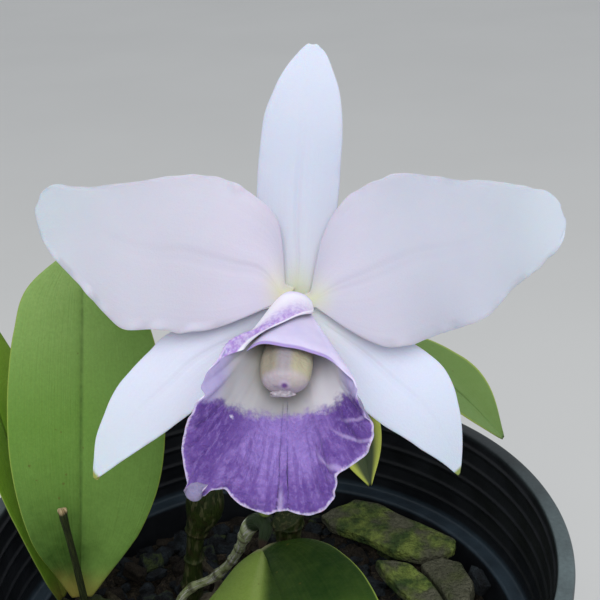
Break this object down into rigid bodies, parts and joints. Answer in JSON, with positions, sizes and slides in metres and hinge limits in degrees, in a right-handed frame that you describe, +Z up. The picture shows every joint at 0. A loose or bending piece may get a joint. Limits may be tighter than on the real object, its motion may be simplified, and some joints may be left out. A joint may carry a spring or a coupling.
{
  "type": "cattleya orchid in a pot",
  "caption": "Cattleya orchid in bloom: one white flower with a violet lip on a short stalk, broad leaves on pseudobulbs, growing in bark in a round black nursery pot.",
  "frame": {"origin": "centre of the pot's underside, on the surface that it stands on", "axes": "+Z up, the flower faces -Y and tilts up, +X to the flower's right as it is seen from the front"},
  "size_m": [0.165, 0.1958, 0.2844],
  "materials": {
    "pot_plastic": "satin black plastic, worn grey along the rim",
    "bark": "rough dark bark and charcoal chips",
    "mossy_bark": "weathered bark with green and grey patches",
    "cane": "smooth green plant stem",
    "papery_sheath": "pale papery sheath, mottled with green",
    "leaf": "waxy leathery leaf",
    "dry_stem": "dry withered stalk",
    "petal_white": "soft white petal with a lilac tint",
    "lip_violet": "velvety violet with pale veins and a white edge",
    "column_cream": "waxy cream"
  },
  "bodies": {
    "root": {"pot": "pot_plastic", "growing_medium": "bark", "rhizome": "cane", "pseudobulb_flowering": "papery_sheath", "pseudobulb_middle": "cane", "pseudobulb_right": "cane", "pseudobulb_left": "cane", "pseudobulb_rear_left": "cane", "bark_slab_back": "mossy_bark", "bark_slab_front": "mossy_bark", "bark_slab_side": "bark", "leaf_front": "leaf", "leaf_left": "leaf", "leaf_rear_left": "leaf", "leaf_right": "leaf", "leaf_middle": "leaf", "old_flower_stem": "dry_stem", "flower_sheath": "cane", "flower_stalk": "cane", "dorsal_sepal": "petal_white", "lateral_sepal_left": "petal_white", "lateral_sepal_right": "petal_white", "petal_left": "petal_white", "petal_right": "petal_white", "lip": "lip_violet", "column": "column_cream", "anther_cap": "column_cream"}
  },
  "joints": []
}
